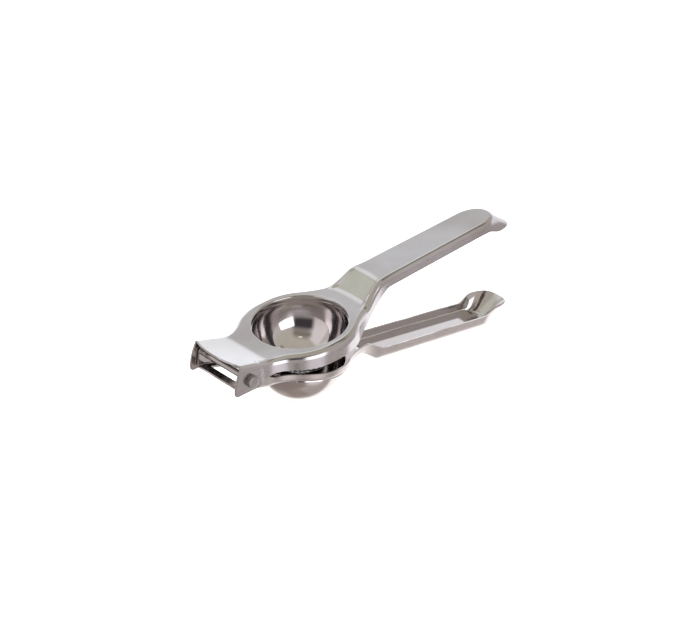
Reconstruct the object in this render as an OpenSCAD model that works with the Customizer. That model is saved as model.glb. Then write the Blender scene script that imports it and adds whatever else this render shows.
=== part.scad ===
// Citrus press: two stamped channel arms joined at the nose by a riveted pin.
// The upper arm carries a deep-drawn press cup, the lower arm a strainer bowl.
// Millimetres. +X runs from the hinge to the handle tips, +Y is the width, +Z is up.
// The model stands as it does on a table: on the rear edge of the bowl's foot and on
// the bend under the lower handle's tip. The origin is the centre of its footprint.

/* [Pose] */
// Angle between the two ring plates
open_angle = 11.2; // [0:0.1:90]

/* [Sheet] */
// Thickness of the stamped arms
sheet = 1.2; // [1:0.05:1.4]
// Wall of the deep-drawn cup and bowl
cup_wall = 0.9; // [0.7:0.05:1.1]

/* [Arms] */
// Outer radius of the upper ring flange
ring_r = 33.8; // [33.4:0.1:35]
// Depth of the upper ring flange below the plate
ring_depth = 9.8; // [9:0.1:10.4]
// Outer radius of the lower ring flange
low_ring_r = 29.3; // [29:0.1:30]
// Height of the lower ring flange
low_ring_depth = 5; // [4:0.1:5.4]
// Half width of the handles over their flanges
handle_half = 12.6; // [11.5:0.1:13]
// Distance from the plates out to the handle tops
handle_rise = 8.65; // [7:0.05:9.5]
// Distance from the ring centre to where the spoon-shaped tip starts
handle_x = 135.1; // [120:0.1:150]
// Overall length of the lower tip; the upper one is 2 mm shorter
tip_len = 24.7; // [23:0.1:26.5]
// Height of the handles' side flanges
flange = 6.3; // [5:0.1:7]
// Depth of the lower tip's rim below the handle's outer face
tip_depth = 10.8; // [9:0.1:11.5]

/* [Cup and bowl] */
// Inner radius of the ring's turned-down collar
cup_r = 27.5; // [26.8:0.1:27.6]
// Depth of the press cup below the ring plate
cup_depth = 30.5; // [27:0.1:31]
// Radius of the bowl's flat foot
foot_r = 12.3; // [11:0.1:13]
// Depth of the bowl below the lower ring plate
bowl_depth = 20.6; // [20.2:0.1:24]
// Diameter of a strainer hole
hole_d = 2.5; // [1.6:0.1:2.6]

/* [Hinge] */
// Distance from the ring centre to the hinge axis
hinge_x = 53; // [52.5:0.1:53.5]
// Hinge axis below the upper plate's outer face
hinge_up = 4.9; // [4.7:0.1:5.2]
// Hinge axis above the lower plate's outer face
hinge_low = 9.3; // [9.1:0.1:9.5]
// Diameter of the hinge pin
pin_d = 4; // [3.6:0.1:4.2]
// Diameter of the pin's riveted heads
head_d = 7.4; // [6.5:0.1:8]
// Half width over the upper ears
ear_half = 20.2; // [20:0.1:20.4]

/* [Hidden] */
$fn = 96;
ear_gap = 0.3;       // side play between the nested ears
pin_play = 0.06;     // radial running clearance of the pin in the lower ears
fillet_front = 24.7; // plan radius between the lower ears and the ring
fillet_neck = 28;    // the same for the upper arm
front_shift = -4;    // centre of the upper ring flange's front half, which makes the ring an oval
fillet_rear = 65;    // plan radius between the ring and the upper handle
fillet_low = 55;     // plan radius between the ring and the lower handle
neck_half = 19.8;    // half width of the upper arm where the front fillet starts
ring_shift = 0.8;    // centre of its rear half
nose = 3.9;          // how far the upper web bulges forward between the ears
low_half = ear_half - sheet - ear_gap;
low_neck = neck_half - 0.4 - sheet - ear_gap;

handle_end = 11.8;   // half width of the handles where the tip starts
slope = 0.85;        // extra rise of the handle plates along their length
low_rise = handle_rise - 0.65;
low_slope = 0.7;

// The lower arm's pitch lets the foot's rear edge and the tip's crest share one plane.
crest_x = handle_x + handle_end - 0.02;
crest_z = low_rise + low_slope * (crest_x - 50.3) / (handle_x - 50.3) - 0.02;
pitch = atan((bowl_depth - crest_z) / (crest_x - foot_r));
lift = bowl_depth * cos(pitch) + foot_r * sin(pitch);
shift = -48.14;      // puts the footprint's centre at the origin

// ---------- paths ----------
function unit(v) = v / norm(v);
function rev(p) = [for (i = [len(p) - 1 : -1 : 0]) p[i]];

// Rounds each inner corner of a path of [x, z, radius] points with an arc of 5 points.
function arc_at(a, b, c, r) =
    let (u = unit(a - b), v = unit(c - b), h = acos(u * v) / 2,
         d = r / tan(h), m = unit(u + v), o = b + m * (r / sin(h)),
         s = cross(u, v) > 0 ? -1 : 1, p = b + u * d, f = 180 - 2 * h,
         a0 = atan2(p[1] - o[1], p[0] - o[0]))
    [for (i = [0 : 4]) o + r * [cos(a0 + s * f * i / 4), sin(a0 + s * f * i / 4)]];
function xz(p) = [p[0], p[1]];
function rounded(p) = [for (i = [0 : len(p) - 1])
    each (i == 0 || i == len(p) - 1 || p[i][2] == 0) ? [xz(p[i])]
        : arc_at(xz(p[i - 1]), xz(p[i]), xz(p[i + 1]), p[i][2])];

// Moves a path sideways by t, to its right, with mitred corners.
function normal(a, b) = let (d = unit(b - a)) [d[1], -d[0]];
function moved(p, t) = [for (i = [0 : len(p) - 1])
    let (n1 = normal(p[max(i - 1, 0)], p[max(i, 1)]),
         n2 = normal(p[min(i, len(p) - 2)], p[min(i + 1, len(p) - 1)]))
    p[i] + (n1 + n2) * t / (1 + n1 * n2)];

// ---------- plan outline of an arm ----------
// One half from the nose to the handle's end: straight ears, fillet, ring, fillet, handle.
// Every radius takes the inset t, so the inner outline stays parallel to the outer one.
function sweep(cx, cy, r, a, b, n) =
    [for (i = [0 : n]) let (w = a + (b - a) * i / n) [cx + r * cos(w), cy + r * sin(w)]];
function half_plan(r, df, dx, we, wn, f1, f2, xe, t) =
    let (R = r - t, F = f1 + t, G = f2 + t, w1 = wn - t, w2 = handle_half - t,
         x1 = sqrt(pow(R + F, 2) - pow(w1 + F, 2)), x2 = sqrt(pow(R + G, 2) - pow(w2 + G, 2)),
         a1 = atan2(w1 + F, -x1), a2 = atan2(w2 + G, x2))
    concat([[-xe, we - t], [-46, we - t]],
           sweep(df - x1, w1 + F, F, -90, a1 - 180, 10),
           sweep(df, 0, R, a1, 90, 8), [for (q = sweep(dx, 0, R, 90, a2, 14)) if (q[0] > dx + 0.01 || df < dx) q],
           sweep(dx + x2, w2 + G, G, a2 - 180, -90, 12),
           [[handle_x, handle_end - t], [handle_x + 9, handle_end - t]]);
module plan(r, df, dx, we, wn, f1, f2, xe, t) {
    h = half_plan(r, df, dx, we, wn, f1, f2, xe, t);
    translate([0, 0, -45]) linear_extrude(90)
        polygon(concat(h, [for (q = rev(h)) [q[0], -q[1]]]));
}
// A side outline in X and Z, run across the arm.
module side(p, w = 90) { rotate([90, 0, 0]) linear_extrude(w, center = true) polygon(p); }

// A channel: plate path on top, flange edge path below, both from nose to tip, outward = +Z.
module channel(top, edge, r, df, dx, we, wn, f1, f2) {
    t = rounded(top);
    e = rounded(edge);
    i = moved(t, sheet);
    difference() {
        intersection() {
            side(concat(t, rev(e)));
            plan(r, df, dx, we, wn, f1, f2, 66, 0);
        }
        intersection() {
            side(concat([[-75, i[0][1]]], i, [[190, i[len(i) - 1][1]], [190, -44], [-75, -44]]));
            plan(r, df, dx, we, wn, f1, f2, 70, sheet);
        }
    }
}

// ---------- spoon-shaped tip ----------
// The plate ends in a half circle. From there a wall flares out to a broad rounded rim.
// Origin where the tip starts, on the plate's outer face; the wall goes down to -Z.
tip_x = 8.6;         // centre of the rim's curve
lap = 0.5;           // how far the tip reaches back into the channel
function crest(r, c) = concat([[-lap, -r]],
    [for (w = [-90 : 7.5 : 90]) [c + r * cos(w), r * sin(w)]], [[-lap, r]]);
function rim(ax, ay, w0) = concat([[-lap, -w0]],
    [for (w = [-90 : 6 : 90]) [tip_x + ax * pow(max(cos(w), 0), 0.676),
        ay * sign(w) * pow(abs(sin(w)), 0.676)]], [[-lap, w0]]);
module slab(p, z) { translate([0, 0, z]) linear_extrude(0.02) polygon(p); }
module tip(reach, deep) {
    r = handle_end - 0.02;
    ax = reach - tip_x;
    run = (reach - r) / deep;         // the wall's slope at the middle
    back = sheet * sqrt(1 + run * run);      // its thickness measured along X
    q = sheet - 0.03;
    difference() {
        hull() {
            slab(crest(r, 0), -0.04);
            slab(rim(ax + run * 0.2, handle_end + 0.3, r), -deep - 0.2);
        }
        hull() {
            slab(crest(r - q, run * sheet - back + q), -sheet);
            slab(rim(ax + run * 2 - back, handle_end + 0.3 - sheet, r - q), -deep - 2);
        }
        side([[-2, -flange + 0.02], [4.2, -flange + 0.02], [6.5, 0.25 * -flange - 0.75 * deep + 1.6],
              [11.5, -deep + 0.5], [reach + 5, -deep], [reach + 5, -30], [-2, -30]]);
    }
}

// ---------- upper arm, outward = +Z, origin at the ring centre on the plate's top ----------
web_top = [[-65, 8.6, 0], [-37.6, 0, 9], [37.3, 0, 4], [50.3, handle_rise, 5],
           [handle_x, handle_rise + slope, 0]];
up_edge = [[-65, -11.3, 0], [-47.4, -11.9, 2.5], [-42, -9.3, 5],
           [-36, -8.1, 6], [-27, -8.7, 6], [-17, -ring_depth, 6], [33, -ring_depth, 9],
           [56, handle_rise - flange, 9], [handle_x, handle_rise + slope - flange, 0]];
module upper_local() {
    nr = (pow(ear_half, 2) + pow(nose, 2)) / (2 * nose);
    difference() {
        union() {
            channel(web_top, up_edge, ring_r, front_shift, ring_shift, ear_half, neck_half,
                    fillet_neck, fillet_rear);
            translate([handle_x, 0, handle_rise + slope])
                rotate([0, -atan(slope / (handle_x - 50.3)), 0]) tip(tip_len - 2, tip_depth - 1.1);
            translate([0, 0, -4.2]) cylinder(r = cup_r + sheet, h = 4.2 - sheet / 2);
        }
        // collar with a rolled upper edge
        rotate_extrude() polygon(concat([[0, -10], [cup_r, -10]],
            [for (w = [0 : 15 : 90]) [cup_r + 1.6 * (1 - cos(w)), -1.6 + 1.6 * sin(w)]],
            [[cup_r + 1.6, 5], [0, 5]]));
        // front edge of the web, a shallow arc in plan
        difference() {
            translate([-80, -ear_half + sheet, -20]) cube([30, 2 * (ear_half - sheet), 40]);
            translate([-58.8 - nose + nr, 0, -21]) cylinder(r = nr, h = 42, $fn = 180);
        }
        // leaning front edges of the ears
        for (m = [0, 1]) mirror([0, m, 0]) translate([0, ear_half - sheet / 2 + 0.4, 0])
            side(rounded([[-90, 12, 0], [-58.6, 12, 0], [-58.6, 7, 0], [-62, 1.4, 8],
                          [-63.6, -3.6, 14], [-64.8, -11.2, 2.4], [-60, -12.2, 0],
                          [-60, -30, 0], [-90, -30, 0]]), sheet + 0.8);
        // pin bores
        translate([-hinge_x, 0, -hinge_up]) rotate([90, 0, 0])
            cylinder(d = pin_d, h = 60, center = true);
    }
}

// ---------- press cup, same frame as the upper arm ----------
cup_band = 2.6;
function cup_pt(w, e) =    // superellipse profile, e = inset
    [(cup_r - e) * pow(max(cos(w), 0), 1 / 0.9),
     -2.4 - cup_band - (cup_depth - 2.4 - cup_band - e) * pow(sin(w), 1 / 0.9)];
module cup_local() {
    difference() {
        rotate_extrude() polygon(concat([[0, -2.4], [cup_r, -2.4]],
            [for (w = [0 : 6 : 90]) cup_pt(w, 0)]));
        rotate_extrude() polygon(concat([[0, 1], [cup_r - cup_wall, 1]],
            [for (w = [0 : 6 : 90]) cup_pt(w, cup_wall)]));
    }
}

// ---------- lower arm, outward = +Z before it is turned over ----------
low_top = [[-59.6, -3.2, 0], [-37.6, 0, 12], [37.3, 0, 4], [50.3, low_rise, 5],
           [handle_x, low_rise + low_slope, 0]];
low_edge = [[-59.6, -14.5, 0], [-48.5, -14.5, 6], [-40.5, -8, 6], [-33, -low_ring_depth, 6],
            [41.5, -low_ring_depth, 3], [55, low_rise - flange, 6],
            [handle_x, low_rise + low_slope - flange, 0]];
win_x = 52.9;
win_len = 8.5;
win_half = 14.6;
bowl_top = 26.9;    // bowl radius where it passes through the lower ring plate
module lower_local() {
    difference() {
        union() {
            channel(low_top, low_edge, low_ring_r, 0, 0, low_half, low_neck,
                    fillet_front, fillet_low);
            translate([handle_x, 0, low_rise + low_slope])
                rotate([0, -atan(low_slope / (handle_x - 50.3)), 0]) tip(tip_len, tip_depth);
        }
        translate([0, 0, -3]) cylinder(r = bowl_top, h = 6);
        // ears rounded over about the pin, so the upper web swings past them
        for (m = [0, 1]) mirror([0, m, 0]) translate([0, low_half, 0]) difference() {
            side([[-75, -hinge_low], [-hinge_x, -hinge_low], [-45.5, -12.2], [-45.5, -40],
                  [-75, -40]], 8);
            translate([-hinge_x, 0, -hinge_low]) rotate([90, 0, 0])
                cylinder(r = 7.6, h = 9, center = true);
        }
        // window behind the front strip
        translate([-win_x, -win_half, -6]) cube([win_len, 2 * win_half, 9]);
        // pin bores
        translate([-hinge_x, 0, -hinge_low]) rotate([90, 0, 0])
            cylinder(r = pin_d / 2 + pin_play, h = 60, center = true);
    }
}

// ---------- strainer bowl, same frame as the lower arm ----------
bz = (pow(foot_r, 2) + pow(bowl_depth, 2) - pow(bowl_top, 2)) / (2 * bowl_depth);
br = sqrt(pow(bowl_top, 2) + pow(bz, 2));
function bowl_pt(z, e) = [sqrt(max(pow(br - e, 2) - pow(z - bz, 2), 0)), z];
module bowl_local() {
    difference() {
        union() {
            translate([0, 0, -sheet - cup_wall])
                cylinder(r = low_ring_r - sheet - 0.2, h = cup_wall);
            rotate_extrude() polygon(concat([[0, -sheet - cup_wall], [bowl_top, -sheet - cup_wall]],
                [for (i = [0 : 16]) bowl_pt(bowl_depth * i / 16, 0)], [[0, bowl_depth]]));
        }
        rotate_extrude() polygon(concat(
            [[0, -10], [bowl_pt(0, cup_wall)[0] + 0.1, -10], [bowl_pt(0, cup_wall)[0] + 0.1, -sheet]],
            [for (i = [0 : 16]) bowl_pt((bowl_depth - cup_wall) * i / 16, cup_wall)],
            [[0, bowl_depth - cup_wall]]));
        // two rings of drain holes in the floor
        for (i = [0 : 5]) rotate(60 * i) translate([4.4, 0, 0])
            cylinder(d = hole_d, h = 60, $fn = 24);
        for (i = [0 : 11]) rotate(30 * i + 15) translate([8.8, 0, 0])
            cylinder(d = hole_d, h = 60, $fn = 24);
    }
}

// ---------- hinge pin, axis along Y through its own origin ----------
module pin_local() {
    h = 3;
    rotate([90, 0, 0]) {
        cylinder(d = pin_d, h = 2 * ear_half, center = true);
        for (m = [0, 1]) mirror([0, 0, m]) translate([0, 0, ear_half]) {
            cylinder(d = head_d, h = h - 0.5);
            translate([0, 0, h - 0.5]) cylinder(d1 = head_d, d2 = head_d - 1, h = 0.5);
        }
    }
}

// ---------- placing ----------
module in_lower_arm() { translate([shift, 0, lift]) rotate([0, pitch, 0]) children(); }
module in_hinge() {
    in_lower_arm() translate([-hinge_x, 0, hinge_low]) rotate([0, -open_angle, 0]) children();
}
module in_upper_arm() { in_hinge() translate([hinge_x, 0, hinge_up]) children(); }

module upper_arm() { color([0.74, 0.73, 0.72]) in_upper_arm() upper_local(); }
module press_cup() { color([0.86, 0.86, 0.87]) in_upper_arm() cup_local(); }
module lower_arm() {
    color([0.70, 0.68, 0.66]) in_lower_arm() mirror([0, 0, 1]) lower_local();
}
module strainer_bowl() {
    color([0.72, 0.70, 0.68]) in_lower_arm() mirror([0, 0, 1]) bowl_local();
}
module hinge_pin() { color([0.66, 0.66, 0.67]) in_hinge() pin_local(); }

upper_arm();
press_cup();
lower_arm();
strainer_bowl();
hinge_pin();
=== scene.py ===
import math

import bmesh
import bpy
import numpy as np
from mathutils import Matrix, Vector


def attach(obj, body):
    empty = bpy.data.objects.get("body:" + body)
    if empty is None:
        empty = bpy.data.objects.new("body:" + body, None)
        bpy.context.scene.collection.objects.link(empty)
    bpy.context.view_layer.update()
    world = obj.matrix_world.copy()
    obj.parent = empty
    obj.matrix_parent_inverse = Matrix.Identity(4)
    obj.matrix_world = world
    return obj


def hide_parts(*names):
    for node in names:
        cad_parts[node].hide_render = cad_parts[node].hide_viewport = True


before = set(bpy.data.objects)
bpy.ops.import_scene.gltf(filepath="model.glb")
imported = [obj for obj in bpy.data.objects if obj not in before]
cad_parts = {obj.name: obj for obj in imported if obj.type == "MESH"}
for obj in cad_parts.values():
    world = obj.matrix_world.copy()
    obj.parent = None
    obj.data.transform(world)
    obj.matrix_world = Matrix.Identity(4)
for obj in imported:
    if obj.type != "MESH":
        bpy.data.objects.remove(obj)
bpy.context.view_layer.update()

S = 0.001  # millimetres to metres

# ------------------------------------------------------------------ placing, as the CAD frame has it
OPEN = 11.2
HX, HUP, HLOW = 53.0, 4.9, 9.3
SHEET = 1.2
HRISE, LRISE, SLOPE, LSLOPE = 8.65, 8.0, 0.85, 0.7
HX0, HEND = 135.1, 11.8
BOWL_D, FOOT_R = 20.6, 12.3
crest_x = HX0 + HEND - 0.02
crest_z = LRISE + LSLOPE * (crest_x - 50.3) / (HX0 - 50.3) - 0.02
PITCH = math.atan((BOWL_D - crest_z) / (crest_x - FOOT_R))
LIFT = BOWL_D * math.cos(PITCH) + FOOT_R * math.sin(PITCH)
IN_LOWER = Matrix.Translation((-48.14, 0, LIFT)) @ Matrix.Rotation(PITCH, 4, "Y")
IN_HINGE = IN_LOWER @ Matrix.Translation((-HX, 0, HLOW)) @ Matrix.Rotation(-math.radians(OPEN), 4, "Y")
IN_UPPER = IN_HINGE @ Matrix.Translation((HX, 0, HUP))
FLIP = Matrix.Diagonal((1, 1, -1, 1))
TO_M = Matrix.Diagonal((S, S, S, 1))


# ------------------------------------------------------------------ paths
def rounded(path, n=10):
    """(x, z, radius) corners to a polyline whose inner corners are arcs."""
    out = []
    for i, (x, z, r) in enumerate(path):
        if i in (0, len(path) - 1) or r == 0:
            out.append((x, z))
            continue
        a, b, c = (np.array(path[j][:2], float) for j in (i - 1, i, i + 1))
        u, v = (a - b) / np.linalg.norm(a - b), (c - b) / np.linalg.norm(c - b)
        h = math.acos(max(-1, min(1, float(u @ v)))) / 2
        d = r / math.tan(h)
        p, q = b + u * d, b + v * d
        m = (u + v) / np.linalg.norm(u + v)
        o = b + m * r / math.sin(h)
        a0 = math.atan2(*(p - o)[::-1])
        a1 = math.atan2(*(q - o)[::-1])
        da = (a1 - a0 + math.pi) % (2 * math.pi) - math.pi
        out += [tuple(o + r * np.array([math.cos(a0 + da * k / n), math.sin(a0 + da * k / n)])) for k in range(n + 1)]
    return np.array(out)


def profile(path):
    p = rounded(path)
    return lambda x: np.interp(x, p[:, 0], p[:, 1])


def half_outline(R, df, dx, we, wn, wh, f1, f2, x0, end):
    """Half plan outline from the nose to the tip's apex: (points, outward normals, share of the tip's arc or -1)."""
    x1 = math.sqrt((R + f1) ** 2 - (wn + f1) ** 2)
    x2 = math.sqrt((R + f2) ** 2 - (wh + f2) ** 2)
    a1, a2 = math.atan2(wn + f1, -x1), math.atan2(wh + f2, x2)

    def arc(cx, cy, r, a, b, step):
        n = max(4, int(abs(b - a) * r / step))
        return [(cx + r * math.cos(a + (b - a) * i / n), cy + r * math.sin(a + (b - a) * i / n)) for i in range(n + 1)]

    pts = [(x0 + (-46 - x0) * k ** 1.5, we) for k in np.linspace(0, 1, 26)]
    pts += [(x, we + (wn - we) * k) for k, x in zip(np.linspace(0, 1, 10)[1:-1], np.linspace(-46, df - x1, 10)[1:-1])]
    pts += arc(df - x1, wn + f1, f1, -math.pi / 2, a1 - math.pi, 0.8)
    pts += arc(df, 0, R, a1, math.pi / 2, 0.75)[1:]
    pts += [(x, R) for x in np.linspace(df, dx, 8)[1:-1]] if dx > df else []
    pts += arc(dx, 0, R, math.pi / 2, a2, 0.75)[1 if dx == df else 0:]
    pts += arc(dx + x2, wh + f2, f2, a2 - math.pi, -math.pi / 2, 0.45)[1:]
    xs, xe = dx + x2, HX0 - end
    pts += [(xs + (xe - xs) * k, wh + (HEND - wh) * k) for k in np.linspace(0, 1, 60)[1:]]
    p = np.array(pts)
    d = np.gradient(p, axis=0)
    d /= np.linalg.norm(d, axis=1)[:, None]
    nrm = np.stack([-d[:, 1], d[:, 0]], 1)
    share = np.full(len(p), -1.0)
    w = np.linspace(math.pi / 2, 0, 37)[1:]
    tip = np.stack([xe + (HEND + end) * np.cos(w), HEND * np.sin(w)], 1)
    p = np.vstack([p, tip])
    tn = np.stack([np.cos(w) / (HEND + end), np.sin(w) / HEND], 1)
    nrm = np.vstack([nrm, tn / np.linalg.norm(tn, axis=1)[:, None]])
    share = np.concatenate([share, 1 - w / (math.pi / 2)])
    return p, nrm, share


def tip_rim(reach, end):
    """Half rim of the spoon-shaped tip in plan, from its start to the apex, by arc length."""
    w = np.linspace(math.pi / 2, 0, 200)
    ax, ay = reach - 8.6, HEND + 0.32
    c = np.stack([8.6 + ax * np.cos(w).clip(0) ** 0.676, ay * np.sin(w).clip(0) ** 0.676], 1)
    c = np.vstack([np.stack([np.linspace(-end, 8.6, 40)[:-1], np.linspace(HEND, ay, 40)[:-1]], 1), c])
    s = np.concatenate([[0], np.cumsum(np.linalg.norm(np.diff(c, axis=0), axis=1))])
    return lambda k: np.array([np.interp(k * s[-1], s, c[:, 0]), np.interp(k * s[-1], s, c[:, 1])])


def smooth(a, b, x):
    t = np.clip((x - a) / (b - a), 0, 1)
    return t * t * (3 - 2 * t)


# ------------------------------------------------------------------ stamped arm: outer skin as quads, then its thickness
def arm(name, spec):
    pts, nrm, share = half_outline(*spec["plan"], spec["end"])
    rim = tip_rim(spec["reach"], spec["end"])
    zp, zf = spec["top"], spec["edge"]
    x0 = spec["plan"][-1]
    rise, slope = spec["rise"], spec["slope"]
    tilt = slope / (HX0 - 50.3)
    N = len(pts)
    WALL, BEND = 7, 8
    rows = []  # per sample: edge -> wall -> bend -> inner bend point
    for i in range(N):
        x, y = pts[i]
        n = np.array([nrm[i][0], nrm[i][1], 0.0])
        r = float(np.interp(x, spec["bend"][0], spec["bend"][1]))
        if share[i] >= 0:
            k = share[i]
            zc = rise + slope + (x - HX0) * tilt
            rx, ry = rim(k)
            drop = spec["flange"] + (spec["deep"] - spec["flange"]) * smooth(2.0, 12.0, rx)
            C = np.array([x, y, zc])
            E = np.array([HX0 + rx, ry, rise + slope + rx * tilt - drop])
            r = r + (spec["tip_bend"] - r) * smooth(0.0, 0.5, k)
            flare = 0.16 * smooth(0.05, 0.6, k)
        else:
            t = (x + 46) / (x0 + 46) if x < -46 else 0.0
            xc = -46 + t * (spec["front_top"] + 46) if t > 0 else x
            xe = -46 + t * (spec["front_bottom"] + 46) if t > 0 else x
            C = np.array([xc, y, float(zp(xc))])
            E = np.array([xe, y, float(zf(xe))])
            if "edge_fix" in spec:
                E = spec["edge_fix"](E, t)
            flare = 0.0
        L = np.linalg.norm(E - C)
        d = (E - C) / L
        turn = math.acos(max(-1, min(1, float(n @ d))))  # from outwards along the plate to down the wall
        T = r * math.tan(turn / 2)
        T = min(T, L * 0.6)
        A, W = C - n * T, C + d * T
        # wall from the edge up to the bend, hollowed a little where it flares
        line = []
        for k in range(WALL):
            s = k / WALL
            p = E + (W - E) * s
            if flare:
                p = p + np.array([-n[0], -n[1], 0]) * (4 * s * (1 - s) * flare * L * 0.35)
            if spec.get("lean") and share[i] < 0 and x < -46:
                tt = (x + 46) / (x0 + 46)
                p = p - np.array([1.0, 0, 0]) * (spec["lean"] * 4 * s * (1 - s) * tt)
            line.append((p, 1.0))
        wgt = math.cos(turn / 2)
        for k in range(BEND + 1):
            s = k / BEND
            b0, b1, b2 = (1 - s) ** 2, 2 * s * (1 - s) * wgt, s * s
            line.append(((b0 * W + b1 * C + b2 * A) / (b0 + b1 + b2), 1.0 - s))
        rows.append(line)
    K = len(rows[0])
    verts, zone, faces = [], [], []

    def put(p, z):
        verts.append(tuple(p))
        zone.append(z)
        return len(verts) - 1

    side = {}
    for sgn in (1, -1):
        ids = [[put((p[0], sgn * p[1], p[2]), z) for p, z in line] for line in rows]
        side[sgn] = ids
        for i in range(N - 1):
            for k in range(K - 1):
                q = (ids[i][k], ids[i + 1][k], ids[i + 1][k + 1], ids[i][k + 1])
                faces.append(q if sgn > 0 else q[::-1])
    A = np.array([rows[i][-1][0] for i in range(N)])
    bulge = spec.get("crease", 0.7)

    def plate_z(x, y, half):
        if x < -40:
            return float(zp(x))
        if x >= HX0:
            return rise + slope + (x - HX0) * tilt
        e = bulge * (1 - min(1.0, (y / max(half, 1e-6)) ** 2)) * float(smooth(28, 34, x) * (1 - smooth(60, 70, x)))
        return float(zp(x - e))

    def plate_pt(i, v):  # v from 1 at +y to -1 at -y
        x, y = A[i][0], A[i][1] * v
        if pts[i][0] < -46:
            x -= spec["nose"] * (1 - v * v) * (pts[i][0] + 46) / (x0 + 46)
        z = plate_z(x, y, A[i][1])
        if abs(v) > 0.9:  # meet the bend exactly
            s = (abs(v) - 0.9) / 0.1
            z = z * (1 - s) + A[i][2] * s
        return (x, y, z)

    xa, xb = spec["ring_span"]
    ia = int(np.argmin(np.abs(A[:60, 0] - xa))) if xa < 0 else 0
    ia = min(range(N), key=lambda i: abs(A[i][0] - xa) + (1e3 if pts[i][0] > 0 else 0))
    ib = min(range(N), key=lambda i: abs(A[i][0] - xb) + (1e3 if pts[i][0] < 0 else 0))
    V = 20

    def strips(i0, i1):
        prev = None
        for i in range(i0, i1 + 1):
            if i == N - 1:
                row = [side[1][i][-1]] + [side[1][i][-1]] * (V - 1) + [side[-1][i][-1]]
            else:
                row = [side[1][i][-1]] + [put(plate_pt(i, 1 - 2 * k / V), 0.0) for k in range(1, V)] + [side[-1][i][-1]]
            if prev:
                for k in range(V):
                    q = [prev[k], row[k], row[k + 1], prev[k + 1]]
                    q = [v for j, v in enumerate(q) if v not in q[:j]]
                    if len(q) > 2:
                        faces.append(tuple(q))
            prev = row
        return prev

    front_last = strips(0, ia)
    back_rows_start = len(verts)
    # the rear strip's first row is also the ring's rear row
    prev = None
    rear_first = None
    for i in range(ib, N):
        if i == N - 1:
            row = [side[1][i][-1]] * V + [side[-1][i][-1]]
        else:
            row = [side[1][i][-1]] + [put(plate_pt(i, 1 - 2 * k / V), 0.0) for k in range(1, V)] + [side[-1][i][-1]]
        if rear_first is None:
            rear_first = row
        if prev:
            for k in range(V):
                q = [prev[k], row[k], row[k + 1], prev[k + 1]]
                q = [v for j, v in enumerate(q) if v not in q[:j]]
                if len(q) > 2:
                    faces.append(tuple(q))
        prev = row
    # closed loop round the hole: front row -y..+y, +y side, rear row +y..-y, -y side
    loop = list(reversed(front_last)) + [side[1][i][-1] for i in range(ia + 1, ib)] + list(rear_first)
    loop += [side[-1][i][-1] for i in range(ib - 1, ia, -1)]
    hr, lip = spec["hole"]
    rings = [loop]
    M = 7
    for m in range(1, M + 1):
        s = m / M
        ring = []
        for v in loop:
            px, py, pz = verts[v]
            a = math.atan2(py, px)
            R = hr + lip
            q = (px + (R * math.cos(a) - px) * s, py + (R * math.sin(a) - py) * s)
            ring.append(put((q[0], q[1], pz * (1 - s) ** 2 if s < 1 else 0.0), 0.0))
        rings.append(ring)
    for z_, r_ in spec["collar"]:
        ring = []
        for v in loop:
            px, py, _ = verts[v]
            a = math.atan2(py, px)
            ring.append(put((r_ * math.cos(a), r_ * math.sin(a), z_), 0.0))
        rings.append(ring)
    for a_, b_ in zip(rings, rings[1:]):
        for j in range(len(loop)):
            k = (j + 1) % len(loop)
            faces.append((a_[k], a_[j], b_[j], b_[k]) if spec.get("wind", 1) > 0 else (a_[j], a_[k], b_[k], b_[j]))
    me = bpy.data.meshes.new(name)
    me.from_pydata(verts, [], faces)
    at = me.attributes.new("zone", "FLOAT", "POINT")
    at.data.foreach_set("value", np.array(zone, np.float32))
    bm = bmesh.new()
    bm.from_mesh(me)
    bmesh.ops.remove_doubles(bm, verts=bm.verts, dist=1e-4)
    loose = [v for v in bm.verts if not v.link_faces]
    bmesh.ops.delete(bm, geom=loose, context="VERTS")
    bmesh.ops.recalc_face_normals(bm, faces=bm.faces)
    up = sum(f.normal.z * f.calc_area() for f in bm.faces)
    if up < 0:
        bmesh.ops.reverse_faces(bm, faces=bm.faces)
    bm.normal_update()
    thicken(bm, SHEET, 0.3)
    bm.to_mesh(me)
    bm.free()
    return me


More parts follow.
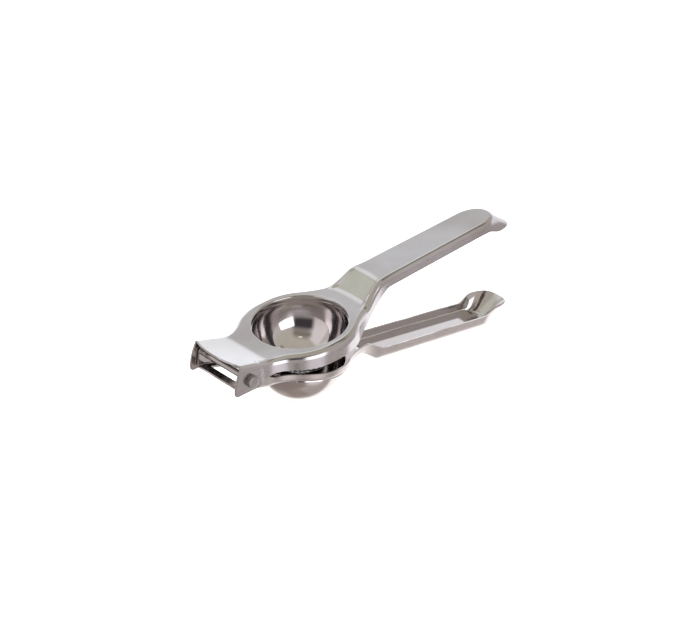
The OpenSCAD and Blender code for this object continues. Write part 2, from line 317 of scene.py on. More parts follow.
def thicken(bm, t, bulge, seg=4):
    """Gives an open skin its sheet thickness inwards, with a rounded cut edge."""
    lay = bm.verts.layers.float.get("zone")
    outer = list(bm.verts)
    edges = [e for e in bm.edges if len(e.link_faces) == 1]
    outward = {}
    for e in edges:
        f = e.link_faces[0]
        l = next(l for l in f.loops if l.edge == e)
        a, b = l.vert, l.link_loop_next.vert
        o = (b.co - a.co).cross(f.normal)
        if o.length > 1e-9:
            o.normalize()
        for v in (a, b):
            outward[v] = outward.get(v, Vector()) + o
    for v, o in outward.items():  # pull the cut edge in by the bulge, so the rounding ends on the outline
        o = o - v.normal * o.dot(v.normal)
        if o.length > 1e-9:
            o.normalize()
        outward[v] = o
    nrm = {v: v.normal.copy() for v in outer}
    for v, o in outward.items():
        v.co = v.co - o * bulge
    twin = {}
    for v in outer:
        w = bm.verts.new(v.co - nrm[v] * t)
        w[lay] = v[lay] + 2.0
        twin[v] = w
    for f in list(bm.faces):
        bm.faces.new([twin[v] for v in reversed(f.verts)]).smooth = True
        f.smooth = True
    prof = {}
    for v, o in outward.items():
        line = [v]
        for k in range(1, seg):
            a = math.pi / 2 - math.pi * k / seg
            w = bm.verts.new(v.co - nrm[v] * (t / 2) + nrm[v] * (t / 2) * math.sin(a) + o * bulge * math.cos(a))
            w[lay] = 5.0
            line.append(w)
        line.append(twin[v])
        prof[v] = line
    for e in edges:
        f = e.link_faces[0]
        l = next(l for l in f.loops if l.edge == e)
        a, b = prof[l.vert], prof[l.link_loop_next.vert]
        for k in range(seg):
            nf = bm.faces.new((b[k], a[k], a[k + 1], b[k + 1]))
            nf.smooth = True
        e.smooth = False
    bm.edges.ensure_lookup_table()
    for e in edges:
        x, y = twin[e.verts[0]], twin[e.verts[1]]
        for q in x.link_edges:
            if q.other_vert(x) == y:
                q.smooth = False


def new_object(name, me, mat):
    me.transform(TO_M @ mat)
    if (TO_M @ mat).determinant() < 0:
        me.flip_normals()
    o = bpy.data.objects.new(name, me)
    bpy.context.scene.collection.objects.link(o)
    for p in me.polygons:
        p.use_smooth = True
    return o


def cut(o, cutters):
    """Boolean difference with closed cutters, applied."""
    for c in cutters:
        m = o.modifiers.new("cut", "BOOLEAN")
        m.operation, m.solver, m.object = "DIFFERENCE", "EXACT", c
    dg = bpy.context.evaluated_depsgraph_get()
    me = bpy.data.meshes.new_from_object(o.evaluated_get(dg), preserve_all_data_layers=True, depsgraph=dg)
    o.modifiers.clear()
    old = o.data
    o.data = me
    me.name = old.name
    for c in cutters:
        bpy.data.objects.remove(c)
    bm = bmesh.new()
    bm.from_mesh(me)
    bmesh.ops.dissolve_degenerate(bm, dist=1e-7, edges=bm.edges)
    bm.to_mesh(me)
    bm.free()


def cylinder_y(r, y0, y1, x, z, mat, n=48):
    bm = bmesh.new()
    ring = lambda y: [bm.verts.new((x + r * math.cos(2 * math.pi * k / n), y, z + r * math.sin(2 * math.pi * k / n))) for k in range(n)]
    a, b = ring(y0), ring(y1)
    bm.faces.new(a)
    bm.faces.new(b[::-1])
    for k in range(n):
        bm.faces.new((a[k], b[k], b[(k + 1) % n], a[(k + 1) % n]))
    bmesh.ops.recalc_face_normals(bm, faces=bm.faces)
    me = bpy.data.meshes.new("cutter")
    bm.to_mesh(me)
    bm.free()
    me.attributes.new("zone", "FLOAT", "POINT").data.foreach_set("value", np.full(len(me.vertices), 5.0, np.float32))
    return new_object("cutter", me, mat)


def prism(outline, z0, z1, mat, tag=5.0):
    bm = bmesh.new()
    a = [bm.verts.new((x, y, z0)) for x, y in outline]
    b = [bm.verts.new((x, y, z1)) for x, y in outline]
    n = len(a)
    bm.faces.new(a[::-1])
    bm.faces.new(b)
    for k in range(n):
        bm.faces.new((a[k], a[(k + 1) % n], b[(k + 1) % n], b[k]))
    bmesh.ops.recalc_face_normals(bm, faces=bm.faces)
    me = bpy.data.meshes.new("cutter")
    bm.to_mesh(me)
    bm.free()
    me.attributes.new("zone", "FLOAT", "POINT").data.foreach_set("value", np.full(len(me.vertices), tag, np.float32))
    return new_object("cutter", me, mat)


def revolve(name, prof, mat, n=144, zones=None):
    """Closed profile of (radius, z) points turned about Z. Points on the axis become one vertex."""
    bm = bmesh.new()
    lay = bm.verts.layers.float.new("zone")
    rings = []
    for j, (r, z) in enumerate(prof):
        zn = 0.0 if zones is None else zones[j]
        if r < 1e-6:
            v = bm.verts.new((0, 0, z))
            v[lay] = zn
            rings.append([v] * n)
        else:
            ring = []
            for k in range(n):
                v = bm.verts.new((r * math.cos(2 * math.pi * k / n), r * math.sin(2 * math.pi * k / n), z))
                v[lay] = zn
                ring.append(v)
            rings.append(ring)
    m = len(prof)
    for j in range(m):
        a, b = rings[j], rings[(j + 1) % m]
        if a[0] is a[1] and b[0] is b[1]:
            continue
        for k in range(n):
            q = [a[k], a[(k + 1) % n], b[(k + 1) % n], b[k]]
            q = [v for i, v in enumerate(q) if v not in q[:i]]
            if len(q) > 2:
                bm.faces.new(q)
    bmesh.ops.recalc_face_normals(bm, faces=bm.faces)
    me = bpy.data.meshes.new(name)
    bm.to_mesh(me)
    bm.free()
    o = new_object(name, me, mat)
    return o


def arc_pts(cx, cz, r, a0, a1, n):
    return [(cx + r * math.cos(math.radians(a0 + (a1 - a0) * k / n)), cz + r * math.sin(math.radians(a0 + (a1 - a0) * k / n))) for k in range(n + 1)]


# ------------------------------------------------------------------ upper arm
LIP = 1.0


def lip_wave(E, t):
    """The trimmed lower edge isn't dead straight."""
    x = E[0]
    w = 0.12 * math.sin(x * 0.9) * math.sin(x * 0.23 + 1.0) + 0.35 * math.exp(-((x + 17) / 3.0) ** 2) * math.sin(x * 2.1)
    if -34 < x < 30 and abs(E[1]) > 20:
        E = E + np.array([0, 0, w])
    if x < -62.2:  # rounded lower corner of the ear
        E = E + np.array([0, 0, 2.4 - math.sqrt(max(2.4 ** 2 - (x + 62.2) ** 2, 0.05))])
    return E


upper_mesh = arm("upper_arm_shell", dict(
    plan=(33.78, -4.0, 0.8, 20.2, 19.8, 12.6, 28.0, 65.0, -60.0),
    top=profile([(-66, 8.91, 0), (-37.6, 0, 30), (36.9, 0, 11), (50.3, HRISE, 10), (HX0, HRISE + SLOPE, 0), (150, HRISE + SLOPE * 99.7 / 84.8, 0)]),
    edge=profile([(-65, -11.25, 0), (-47.4, -11.85, 2.5), (-42, -9.3, 5), (-36, -8.1, 6), (-27, -8.7, 6),
                  (-17, -9.8, 6), (33, -9.8, 9), (56, HRISE - 6.8, 9), (HX0, HRISE + SLOPE - 6.8, 0), (150, HRISE + SLOPE - 6.8, 0)]),
    rise=HRISE, slope=SLOPE, front_top=-58.7, front_bottom=-64.5, nose=3.75, lean=1.15,
    bend=([-60, -46, -34, -15, 20, 36, 50, 136], [1.9, 2.6, 3.6, 3.9, 3.9, 3.4, 2.9, 2.7]), tip_bend=3.4,
    ring_span=(-34.5, 33.2), hole=(27.5, LIP),
    collar=[(-LIP + LIP * math.sin(math.radians(w)), 27.5 + LIP * (1 - math.cos(math.radians(w)))) for w in (75, 60, 45, 30, 15, 0)] + [(-2.0, 27.5), (-3.6, 27.5)],
    edge_fix=lip_wave, crease=0.9, end=4.5, reach=22.6, deep=9.7, flange=6.8))
upper = new_object("upper_arm_shell", upper_mesh, IN_UPPER)
cut(upper, [cylinder_y(2.0, -30, 30, -HX, -HUP, IN_UPPER)])

# ------------------------------------------------------------------ lower arm
def ear_edge(E, t):
    x = E[0]
    if x < -44:
        lobe = -9.3 - math.sqrt(max(7.6 ** 2 - (x + 53.0) ** 2, 0))
        z = min(float(np.interp(x, [-60, -53, -45.5, -44], [-9.3, -9.3, -11.6, -10.9])), lobe if abs(x + 53) < 7.6 else 0)
        E = np.array([E[0], E[1], max(z, -14.5)])
    elif -25 < x < 25:
        E = E + np.array([0, 0, 0.25 * math.exp(-((x + 19) / 2.2) ** 2) * math.sin(x * 2.7)])
    return E


lower_mesh = arm("lower_arm_shell", dict(
    plan=(29.3, 0.0, 0.0, 18.7, 17.9, 12.6, 24.7, 55.0, -59.6),
    top=profile([(-66, -4.13, 0), (-37.6, 0, 14), (36.9, 0, 6), (50.3, LRISE, 6), (HX0, LRISE + LSLOPE, 0), (150, LRISE + LSLOPE * 99.7 / 84.8, 0)]),
    edge=profile([(-66, -14.5, 0), (-48.5, -14.5, 6), (-40.5, -8, 6), (-33, -5, 6), (41.5, -5, 4), (55, LRISE - 6.3, 6),
                  (HX0, LRISE + LSLOPE - 6.3, 0), (150, LRISE + LSLOPE - 6.2, 0)]),
    rise=LRISE, slope=LSLOPE, front_top=-59.6, front_bottom=-59.6, nose=0.0,
    bend=([-60, -46, -34, -15, 20, 36, 50, 136], [1.8, 2.0, 2.2, 2.4, 2.4, 2.4, 2.2, 2.3]), tip_bend=2.4,
    ring_span=(-31.5, 33.0), hole=(26.9, 0.25), collar=[(-0.1, 26.95), (-0.5, 26.9)],
    edge_fix=ear_edge, crease=0.6, end=0.0, reach=24.65, deep=10.75, flange=6.3))
lower = new_object("lower_arm_shell", lower_mesh, IN_LOWER @ FLIP)
win = [(-52.9, -14.6), (-44.4, -14.6), (-44.4, 14.6), (-52.9, 14.6)]


def round_rect(x0, x1, y0, y1, r, n=6):
    out = []
    for cx, cy, a in ((x1 - r, y1 - r, 0), (x0 + r, y1 - r, 90), (x0 + r, y0 + r, 180), (x1 - r, y0 + r, 270)):
        out += [(cx + r * math.cos(math.radians(a + 90 * k / n)), cy + r * math.sin(math.radians(a + 90 * k / n))) for k in range(n + 1)]
    return out


cut(lower, [cylinder_y(2.06, -30, 30, -HX, -HLOW, IN_LOWER @ FLIP),
            prism(round_rect(-52.9, -44.4, -14.6, 14.6, 0.8), -6, 3, IN_LOWER @ FLIP)])

# ------------------------------------------------------------------ press cup
def cup_pt(w, e):
    w = math.radians(w)
    return ((27.5 - e) * max(math.cos(w), 0) ** (1 / 0.9), -5.0 - (30.5 - 5.0 - e) * math.sin(w) ** (1 / 0.9))


outside = [(27.42, -3.0), (27.42, -5.0)] + [cup_pt(w, 0.08) for w in np.linspace(0, 90, 50)[1:]]
inside = [cup_pt(w, 0.9) for w in np.linspace(90, 0, 60)][:-1] + [(26.6, -5.0), (26.6, -4.3), (26.6, -3.6), (26.6, -3.0)]
inside = [(r + 0.55 * float(smooth(-12.0, -2.6, z)), z) for r, z in inside] + [(27.2, -2.78), (27.3, -2.72), (27.4, -2.8)]
cup_prof = outside + inside
cup_prof[len(outside) - 1] = (0.0, -30.42)
cup_prof[len(outside)] = (0.0, -29.6)
cup = revolve("press_cup_shell", cup_prof, IN_UPPER, n=192, zones=[1.0] * len(outside) + [0.78 * float(smooth(-19.0, -9.0, z)) for _, z in inside])

# ------------------------------------------------------------------ strainer bowl, with its flat foot and drain holes
bt = 26.9
bz = (FOOT_R ** 2 + BOWL_D ** 2 - bt ** 2) / (2 * BOWL_D)
br = math.sqrt(bt ** 2 + bz ** 2)
sph = lambda z, e: (math.sqrt(max((br - e) ** 2 - (z - bz) ** 2, 0)), z)
wall = 0.9
out_p = [(28.0, -1.25), (28.1, -1.7), (27.9, -2.08), (27.0, -2.1)]
in_p = []
zs_in = np.linspace(-0.6, BOWL_D - wall - 0.35, 34)
bowl_in = [(sph(0, wall)[0] + 0.7, -2.1), (sph(0, wall)[0] + 0.25, -1.95), (sph(0, wall)[0] + 0.05, -1.5)] + [sph(z, wall) for z in zs_in]
ri = bowl_in[-1][0]
bowl_in += [(ri - 0.25, BOWL_D - wall - 0.12), (ri - 0.6, BOWL_D - wall), (9.0, BOWL_D - wall), (6.0, BOWL_D - wall), (3.0, BOWL_D - wall), (0.0, BOWL_D - wall)]
zs_out = np.linspace(BOWL_D - 1.3, -0.3, 40)
bowl_out = [(0.0, BOWL_D - 0.01), (3.0, BOWL_D - 0.01), (6.0, BOWL_D - 0.01), (9.0, BOWL_D - 0.01), (11.6, BOWL_D - 0.01),
            (12.1, BOWL_D - 0.03), (12.4, BOWL_D - 0.12), (12.52, BOWL_D - 0.28), (12.56, BOWL_D - 0.44), (12.66, BOWL_D - 0.56),
            (12.9, BOWL_D - 0.66), (13.5, BOWL_D - 0.86)] + [sph(z, 0) for z in zs_out] + [(26.85, -0.8), (27.2, -1.22), (27.9, -1.22)]
bowl_prof = out_p + bowl_in + bowl_out
bowl = revolve("strainer_bowl_shell", bowl_prof, IN_LOWER @ FLIP, n=192,
               zones=[1.0] * len(out_p) + [0.0] * len(bowl_in) + [1.0] * len(bowl_out))


def drain(x, y):
    return prism([(x + 1.25 * math.cos(2 * math.pi * k / 24), y + 1.25 * math.sin(2 * math.pi * k / 24)) for k in range(24)], 15, 24, IN_LOWER @ FLIP)


cut(bowl, [drain(4.4 * math.cos(math.radians(60 * i)), 4.4 * math.sin(math.radians(60 * i))) for i in range(6)]
    + [drain(8.8 * math.cos(math.radians(30 * i + 15)), 8.8 * math.sin(math.radians(30 * i + 15))) for i in range(12)])

# ------------------------------------------------------------------ hinge pin: shank with two flattened, slightly domed heads
half = 20.2
head = [(0, half + 2.94), (1.2, half + 2.94), (2.2, half + 2.92), (2.85, half + 2.86), (3.2, half + 2.74), (3.45, half + 2.52), (3.58, half + 2.2),
        (3.64, half + 1.7), (3.67, half + 1.1), (3.68, half + 0.6), (3.68, half + 0.25), (3.62, half + 0.08), (3.5, half + 0.01), (2.02, half + 0.01), (2.0, half - 0.05)]
pin_prof = head + [(r, -z) for r, z in reversed(head)]
PIN_MAT = IN_HINGE @ Matrix.Rotation(math.pi / 2, 4, "X")
pin = revolve("hinge_pin_turned", pin_prof, PIN_MAT, n=64, zones=[0.0 if r > 2.01 or z > half + 0.5 else 1.0 for r, z in head] + [0.0 if r > 2.01 or z > half + 0.5 else 1.0 for r, z in reversed(head)])

for o in (upper, lower, cup, bowl, pin):
    o.data.set_sharp_from_angle(angle=math.radians(38))

# ------------------------------------------------------------------ materials
def nodes_of(name):
    m = bpy.data.materials.new(name)
    m.use_nodes = True
    nt = m.node_tree
    b = nt.nodes["Principled BSDF"]
    b.inputs["Metallic"].default_value = 1.0
    return m, nt, b


def N(nt, kind, **kw):
    n = nt.nodes.new(kind)
    for k, v in kw.items():
        if k in n.inputs:
            n.inputs[k].default_value = v
        else:
            setattr(n, k, v)
    return n


def ramp(nt, stops):
    r = nt.nodes.new("ShaderNodeValToRGB")
    e = r.color_ramp.elements
    while len(e) < len(stops):
        e.new(0.5)
    for el, (p, c) in zip(e, stops):
        el.position = p
        el.color = c if len(c) == 4 else (*c, 1)
    return r


def mix(nt, a, b, f, blend="MIX"):
    m = nt.nodes.new("ShaderNodeMix")
    m.data_type = "RGBA"
    m.blend_type = blend
    for sock, v in ((m.inputs[0], f), (m.inputs[6], a), (m.inputs[7], b)):
        if hasattr(v, "links"):
            nt.links.new(v, sock)
        elif isinstance(v, (int, float)):
            sock.default_value = v
        else:
            sock.default_value = (*v, 1)
    return m.outputs[2]


def maths(nt, op, a, b=None, clamp=False):
    m = nt.nodes.new("ShaderNodeMath")
    m.operation = op
    m.use_clamp = clamp
    for sock, v in ((m.inputs[0], a), (m.inputs[1], b)):
        if v is None:
            continue
        if hasattr(v, "links"):
            nt.links.new(v, sock)
        else:
            sock.default_value = v
    return m.outputs[0]


def steel(name, plate, wall_tone_with_painted_shade, inner, rough=(0.10, 0.17), wall_rough=(0.12, 0.22), inner_rough=0.1, edge=(0.50, 0.46, 0.44), grain=(2.2, 70, 70), bump=0.06, specks=()):
    """Stamped sheet: plate, turned-down wall, inside, and cut edge each take their own tone, with drawn streaks; the
    wall's darker tone is partly its drawn finish and partly painted shade.
    """
    m, nt, b = nodes_of(name)
    tc = nt.nodes.new("ShaderNodeTexCoord")
    at = nt.nodes.new("ShaderNodeAttribute")
    at.attribute_name = "zone"
    z = at.outputs["Fac"]
    mp = nt.nodes.new("ShaderNodeMapping")
    mp.inputs["Scale"].default_value = (grain[0] * 100, grain[1] * 100, grain[2] * 100)
    nt.links.new(tc.outputs["Object"], mp.inputs["Vector"])
    streak = N(nt, "ShaderNodeTexNoise", Scale=1.0, Detail=4.0, Roughness=0.6)
    nt.links.new(mp.outputs[0], streak.inputs["Vector"])
    cloud = N(nt, "ShaderNodeTexNoise", Scale=38.0, Detail=3.0, Roughness=0.55)
    nt.links.new(tc.outputs["Object"], cloud.inputs["Vector"])
    fine = N(nt, "ShaderNodeTexNoise", Scale=900.0, Detail=2.0, Roughness=0.5)
    nt.links.new(tc.outputs["Object"], fine.inputs["Vector"])
    # zone masks
    inside_m = maths(nt, "GREATER_THAN", z, 1.5)
    edge_m = maths(nt, "GREATER_THAN", z, 4.0)
    wall_m = maths(nt, "SUBTRACT", z, maths(nt, "MULTIPLY", inside_m, 2.0), clamp=True)
    wall_m = maths(nt, "SMOOTH_MIN", wall_m, 1.0)
    wsoft = N(nt, "ShaderNodeMapRange")
    wsoft.interpolation_type = "SMOOTHSTEP"
    wsoft.inputs["From Min"].default_value = 0.35
    wsoft.inputs["From Max"].default_value = 0.95
    nt.links.new(wall_m, wsoft.inputs["Value"])
    wall_f = wsoft.outputs[0]
    # walls darker than the plate: partly the drawn, brownish finish, partly painted shade for the darker surroundings
    # they mirror; the bends keep the plate tone
    col = mix(nt, plate, wall_tone_with_painted_shade, wall_f)
    # streaks tint the walls, clouds the plates
    sr = ramp(nt, [(0.32, (0.80, 0.775, 0.765)), (0.52, (1.0, 0.995, 1.0)), (0.72, (1.2, 1.19, 1.2))])
    nt.links.new(streak.outputs["Fac"], sr.inputs["Fac"])
    broad = N(nt, "ShaderNodeTexNoise", Scale=17.0, Detail=1.0, Roughness=0.4)
    nt.links.new(tc.outputs["Object"], broad.inputs["Vector"])
    br_ = ramp(nt, [(0.36, (0.90, 0.885, 0.87)), (0.5, (1.0, 1.0, 1.0)), (0.64, (1.05, 1.055, 1.07))])
    nt.links.new(broad.outputs["Fac"], br_.inputs["Fac"])
    col = mix(nt, col, br_.outputs[0], 1.0, "MULTIPLY")
    cr = ramp(nt, [(0.35, (0.94, 0.94, 0.93)), (0.65, (1.04, 1.04, 1.05))])
    nt.links.new(cloud.outputs["Fac"], cr.inputs["Fac"])
    col = mix(nt, col, cr.outputs[0], 1.0, "MULTIPLY")
    streaked = mix(nt, col, sr.outputs[0], 1.0, "MULTIPLY")
    col = mix(nt, col, streaked, maths(nt, "ADD", maths(nt, "MULTIPLY", wall_f, 0.85), 0.12, clamp=True))
    icol = mix(nt, inner, sr.outputs[0], 0.6, "MULTIPLY")
    col = mix(nt, col, icol, inside_m)
    er = ramp(nt, [(0.50, edge), (0.62, (0.95, 0.93, 0.95))])
    nt.links.new(cloud.outputs["Fac"], er.inputs["Fac"])
    col = mix(nt, col, er.outputs[0], edge_m)
    for (p, r_, c) in specks:
        dist = nt.nodes.new("ShaderNodeVectorMath")
        dist.operation = "DISTANCE"
        nt.links.new(tc.outputs["Object"], dist.inputs[0])
        dist.inputs[1].default_value = p
        k = N(nt, "ShaderNodeMapRange")
        k.inputs["From Min"].default_value = r_
        k.inputs["From Max"].default_value = r_ * 0.4
        nt.links.new(dist.outputs["Value"], k.inputs["Value"])
        col = mix(nt, col, c, k.outputs[0])
    nt.links.new(col, b.inputs["Base Color"])
    # roughness: cloudy on the plate, streaky on the wall
    rp = N(nt, "ShaderNodeMapRange")
    rp.inputs["To Min"].default_value, rp.inputs["To Max"].default_value = rough
    nt.links.new(cloud.outputs["Fac"], rp.inputs["Value"])
    rw = N(nt, "ShaderNodeMapRange")
    rw.inputs["To Min"].default_value, rw.inputs["To Max"].default_value = wall_rough
    nt.links.new(streak.outputs["Fac"], rw.inputs["Value"])
    rmix = nt.nodes.new("ShaderNodeMix")
    nt.links.new(wall_f, rmix.inputs[0])
    nt.links.new(rp.outputs[0], rmix.inputs[2])
    nt.links.new(rw.outputs[0], rmix.inputs[3])
    rin = maths(nt, "MULTIPLY", inner_rough, maths(nt, "ADD", maths(nt, "MULTIPLY", streak.outputs["Fac"], 0.8), 0.6))
    rmix2 = nt.nodes.new("ShaderNodeMix")
    nt.links.new(inside_m, rmix2.inputs[0])
    nt.links.new(rmix.outputs[0], rmix2.inputs[2])
    nt.links.new(rin, rmix2.inputs[3])
    rough_out = maths(nt, "MAXIMUM", rmix2.outputs[0], maths(nt, "MULTIPLY", edge_m, 0.35))
    nt.links.new(rough_out, b.inputs["Roughness"])
    # bump: drawn streaks on the walls, a soft orange peel on the plates
    h = maths(nt, "ADD", maths(nt, "MULTIPLY", streak.outputs["Fac"], maths(nt, "ADD", maths(nt, "MULTIPLY", wall_f, 0.9), 0.1)),
              maths(nt, "MULTIPLY", fine.outputs["Fac"], 0.12))
    bp = nt.nodes.new("ShaderNodeBump")
    bp.inputs["Strength"].default_value = bump
    bp.inputs["Distance"].default_value = 0.0002
    nt.links.new(h, bp.inputs["Height"])
    nt.links.new(bp.outputs[0], b.inputs["Normal"])
    return m


def turned(name, c_in, c_out, rough_in, rough_out, centre, back=1.0, bump=0.05):
    """Spun or turned steel: fine rings about its own axis, one tone inside and one outside (zone 1); back darkens the
    outside further, as painted shade.
    """
    m, nt, b = nodes_of(name)
    tc = nt.nodes.new("ShaderNodeTexCoord")
    at = nt.nodes.new("ShaderNodeAttribute")
    at.attribute_name = "zone"
    sub = nt.nodes.new("ShaderNodeMapping")
    sub.inputs["Location"].default_value = (-centre[0], -centre[1], -centre[2])
    nt.links.new(tc.outputs["Object"], sub.inputs["Vector"])
    ln = nt.nodes.new("ShaderNodeVectorMath")
    ln.operation = "LENGTH"
    sep = nt.nodes.new("ShaderNodeSeparateXYZ")
    nt.links.new(sub.outputs[0], sep.inputs[0])
    comb = nt.nodes.new("ShaderNodeCombineXYZ")
    nt.links.new(sep.outputs[0], comb.inputs[0])
    nt.links.new(sep.outputs[1], comb.inputs[1])
    nt.links.new(comb.outputs[0], ln.inputs[0])
    ring = nt.nodes.new("ShaderNodeCombineXYZ")
    nt.links.new(maths(nt, "MULTIPLY", ln.outputs["Value"], 2600.0), ring.inputs[0])
    nt.links.new(maths(nt, "MULTIPLY", sep.outputs[2], 2200.0), ring.inputs[1])
    rings = N(nt, "ShaderNodeTexNoise", Scale=1.0, Detail=3.0, Roughness=0.6)
    nt.links.new(ring.outputs[0], rings.inputs["Vector"])
    cloud = N(nt, "ShaderNodeTexNoise", Scale=60.0, Detail=3.0, Roughness=0.5)
    nt.links.new(tc.outputs["Object"], cloud.inputs["Vector"])
    z = at.outputs["Fac"]
    # painted shade: back below 1 darkens the outside (zone 1)
    shade = maths(nt, "SUBTRACT", 1.0, maths(nt, "MULTIPLY", maths(nt, "GREATER_THAN", z, 0.9), 1.0 - back))
    comb2 = nt.nodes.new("ShaderNodeCombineColor")
    for k in range(3):
        nt.links.new(shade, comb2.inputs[k])
    col = mix(nt, mix(nt, c_in, c_out, z), comb2.outputs[0], 1.0, "MULTIPLY")
    rr = ramp(nt, [(0.3, (0.88, 0.87, 0.86)), (0.7, (1.06, 1.06, 1.06))])
    nt.links.new(rings.outputs["Fac"], rr.inputs["Fac"])
    col2 = mix(nt, col, rr.outputs[0], 1.0, "MULTIPLY")
    col = mix(nt, col, col2, maths(nt, "ADD", maths(nt, "MULTIPLY", z, 0.7), 0.15, clamp=True))
    cr = ramp(nt, [(0.3, (0.93, 0.93, 0.93)), (0.7, (1.04, 1.04, 1.04))])
    nt.links.new(cloud.outputs["Fac"], cr.inputs["Fac"])
    col = mix(nt, col, cr.outputs[0], 1.0, "MULTIPLY")
    nt.links.new(col, b.inputs["Base Color"])
    base = nt.nodes.new("ShaderNodeMix")
    nt.links.new(z, base.inputs[0])
    base.inputs[2].default_value, base.inputs[3].default_value = rough_in, rough_out
    rough = maths(nt, "MULTIPLY", base.outputs[0], maths(nt, "ADD", maths(nt, "MULTIPLY", rings.outputs["Fac"], 0.6), 0.7))
    nt.links.new(rough, b.inputs["Roughness"])
    bp = nt.nodes.new("ShaderNodeBump")
    bp.inputs["Strength"].default_value = bump
    bp.inputs["Distance"].default_value = 0.0001
    nt.links.new(rings.outputs["Fac"], bp.inputs["Height"])
    nt.links.new(bp.outputs[0], b.inputs["Normal"])
    return m


cup_c = TO_M @ IN_UPPER @ Vector((0, 0, 0))
bowl_c = TO_M @ IN_LOWER @ Vector((0, 0, 0))
# upper arm: the dark inside tone is painted shade for the gap under the arm; the wall tone is partly painted shade too
mat_upper = steel("upper_steel_satin", (0.62, 0.61, 0.605), (0.51, 0.485, 0.49), (0.40, 0.37, 0.355))
mat_lower = steel("lower_steel_drawn", (0.58, 0.55, 0.53), (0.52, 0.48, 0.455), (0.60, 0.575, 0.565), rough=(0.32, 0.42), wall_rough=(0.22, 0.38), inner_rough=0.09, bump=0.035)
# cup: its dark outside, in the gap over the bowl, is painted shade
mat_cup = turned("cup_steel_polished", (0.69, 0.66, 0.655), (0.50, 0.455, 0.46), 0.03, 0.17, cup_c, back=0.42, bump=0.012)
# bowl: the darker inside tone, under the cup, is painted shade
mat_bowl = turned("bowl_steel_spun", (0.40, 0.37, 0.36), (0.58, 0.535, 0.505), 0.10, 0.16, bowl_c, bump=0.06)
# pin: the shank's lighter tone is painted light, raised against the dark arm underside it mirrors; the heads keep their
# darker mottled tone
mat_pin = turned("pin_steel_matte", (0.34, 0.31, 0.31), (0.62, 0.59, 0.59), 0.42, 0.22, (0, 0, 0), bump=0.3)

for o, m, body, node, slot in (
    (upper, mat_upper, "upper", "upper_arm", "upper_steel"),
    (lower, mat_lower, "lower", "lower_arm", "lower_steel"),
    (cup, mat_cup, "upper", "press_cup", "cup_steel"),
    (bowl, mat_bowl, "lower", "strainer_bowl", "bowl_steel"),
    (pin, mat_pin, "upper", "hinge_pin", "pin_steel"),
):
    o.data.materials.clear()
    o.data.materials.append(m)
    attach(o, body)
    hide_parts(node)

# ------------------------------------------------------------------ stage, light, camera
scene = bpy.context.scene
scene.view_settings.view_transform = "Standard"
scene.view_settings.look = "None"

me = bpy.data.meshes.new("floor")
me.from_pydata([(-3, -3, 0), (3, -3, 0), (3, 3, 0), (-3, 3, 0)], [], [(0, 1, 2, 3)])
floor = bpy.data.objects.new("floor", me)
scene.collection.objects.link(floor)
floor.visible_glossy = False  # the steel mirrors the surroundings set below, not the sheet it stands on
fm = bpy.data.materials.new("floor_white")
fm.use_nodes = True
fb = fm.node_tree.nodes["Principled BSDF"]
fn = fm.node_tree.nodes.new("ShaderNodeTexNoise")
fn.inputs["Scale"].default_value = 6.0
fr = ramp(fm.node_tree, [(0.3, (0.90, 0.90, 0.90)), (0.7, (0.92, 0.92, 0.92))])
fm.node_tree.links.new(fn.outputs["Fac"], fr.inputs["Fac"])
fm.node_tree.links.new(fr.outputs[0], fb.inputs["Base Color"])
fb.inputs["Roughness"].default_value = 0.9
fb.inputs["Emission Color"].default_value = (1.0, 1.0, 1.0, 1)
fb.inputs["Emission Strength"].default_value = 0.6
fb.inputs["Specular IOR Level"].default_value = 0.1
me.materials.append(fm)

world = bpy.data.worlds.new("studio")
scene.world = world
world.use_nodes = True
wn = world.node_tree
bg = wn.nodes["Background"]
bg.inputs["Strength"].default_value = 1.0
wtc = wn.nodes.new("ShaderNodeTexCoord")
DIR = wtc.outputs["Generated"]


def dot(v):
    d = wn.nodes.new("ShaderNodeVectorMath")
    d.operation = "DOT_PRODUCT"
    wn.links.new(DIR, d.inputs[0])
    d.inputs[1].default_value = v
    return d.outputs["Value"]


def card(col, heading, elev, half_w, half_h, soft, colour, roll=0.0):
    """A soft-edged rectangle of light or shade in the surroundings, seen in that direction."""
    a, e = math.radians(heading), math.radians(elev)
    d = Vector((math.cos(a) * math.cos(e), math.sin(a) * math.cos(e), math.sin(e)))
    u = Vector((-math.sin(a), math.cos(a), 0))
    v = d.cross(u)
    if roll:
        q = Matrix.Rotation(math.radians(roll), 3, d)
        u, v = q @ u, q @ v
    p = dot(d)
    out = None
    for axis, half in ((u, half_w), (v, half_h)):
        t = maths(wn, "DIVIDE", dot(axis), maths(wn, "MAXIMUM", p, 0.02))
        k = wn.nodes.new("ShaderNodeMapRange")
        k.interpolation_type = "SMOOTHSTEP"
        h = math.tan(math.radians(half))
        s = math.tan(math.radians(soft))
        k.inputs["From Min"].default_value = h + s
        k.inputs["From Max"].default_value = h - s
        wn.links.new(maths(wn, "ABSOLUTE", t), k.inputs["Value"])
        out = k.outputs[0] if out is None else maths(wn, "MULTIPLY", out, k.outputs[0])
    out = maths(wn, "MULTIPLY", out, maths(wn, "GREATER_THAN", p, 0.03))
    return mix(wn, col, colour, out)


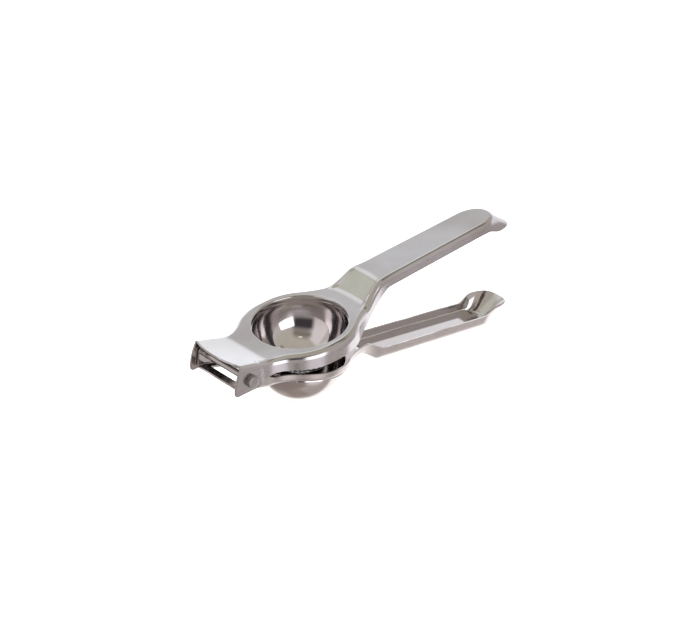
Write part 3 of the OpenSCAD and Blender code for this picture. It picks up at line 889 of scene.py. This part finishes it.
# base: brownish room, tan above
zr = wn.nodes.new("ShaderNodeMapRange")
zr.interpolation_type = "SMOOTHSTEP"
zr.inputs["From Min"].default_value = 0.45
zr.inputs["From Max"].default_value = 0.72
wn.links.new(dot((0, 0, 1)), zr.inputs["Value"])
col = mix(wn, (0.64, 0.595, 0.585), (0.57, 0.53, 0.465), zr.outputs[0])
col = card(col, 45, 2, 62, 20, 5, (1.26, 1.28, 1.34))          # white sweep behind the press
col = card(col, 54, 34, 26, 9, 3, (0.72, 0.715, 0.725))        # grey that the plates show
col = card(col, 66, 50, 18, 8, 3, (1.05, 1.05, 1.06))          # bright strip over the back
col = card(col, 117, 43, 15, 12, 3, (0.73, 0.74, 0.65))        # what the ramps show
col = card(col, 172, 32, 22, 26, 5, (0.88, 0.82, 0.82))        # pinkish left side
col = card(col, -140, 52, 22, 8, 8, (0.26, 0.23, 0.195))       # dark ceiling over the camera
col = card(col, -133, 59, 4.5, 1.3, 0.6, (1.1, 1.03, 0.84))    # small lamp in it
col = card(col, -140, 27, 25, 15, 9, (0.065, 0.055, 0.062))    # the dark side behind the camera
col = card(col, 180, -50, 42, 24, 6, (0.42, 0.36, 0.345))      # dull table on the left
col = card(col, 38, -45, 55, 28, 5, (1.75, 1.75, 1.78))        # white table behind
col = card(col, -88, -32, 15, 20, 6, (1.2, 1.16, 1.22))        # lit table in front of the soft box
col = card(col, 200, -84, 13, 13, 5, (0.45, 0.40, 0.38))       # straight below
col = card(col, 10, 61, 13, 5, 2.5, (0.2, 0.185, 0.16))        # dark bar that draws the line along the near bends
col = card(col, -19, 52, 9, 4, 2.5, (0.28, 0.255, 0.23))
col = card(col, -94, 10, 19, 25, 2.5, (2.3, 2.3, 2.35))        # the large soft box
lp = wn.nodes.new("ShaderNodeLightPath")
col = mix(wn, (1.7, 1.7, 1.7), col, lp.outputs["Is Glossy Ray"])
wn.links.new(col, bg.inputs["Color"])

# camera: fitted to the object, in the lower arm's frame
fit_tau = math.radians(5.229)
az, el, roll = math.radians(-42.02), math.radians(28.29), math.radians(1.12)
back = Vector((math.sin(az) * math.cos(el), -math.cos(az) * math.cos(el), math.sin(el)))
T = Vector((37.30 * 0.95, 0, 19.99 * 0.95))
C = T + back * 1488.35 * 0.95
right = (-back).cross(Vector((0, 0, 1))).normalized()
upv = right.cross(-back)
r2 = right * math.cos(roll) + upv * math.sin(roll)
u2 = upv * math.cos(roll) - right * math.sin(roll)
cam_m = Matrix(((r2.x, u2.x, back.x, C.x), (r2.y, u2.y, back.y, C.y), (r2.z, u2.z, back.z, C.z), (0, 0, 0, 1)))
fit_to_world = IN_LOWER @ Matrix.Rotation(-fit_tau, 4, "Y")
cam_w = fit_to_world @ cam_m
cam_w.translation = cam_w.translation * S
cd = bpy.data.cameras.new("camera")
cd.sensor_fit = "HORIZONTAL"
cd.sensor_width = 36.0
cd.lens = 2473.0 / 693.0 * 36.0
cd.clip_start, cd.clip_end = 0.05, 50
cam = bpy.data.objects.new("camera", cd)
scene.collection.objects.link(cam)
cam.matrix_world = cam_w
scene.camera = cam

bpy.context.view_layer.update()
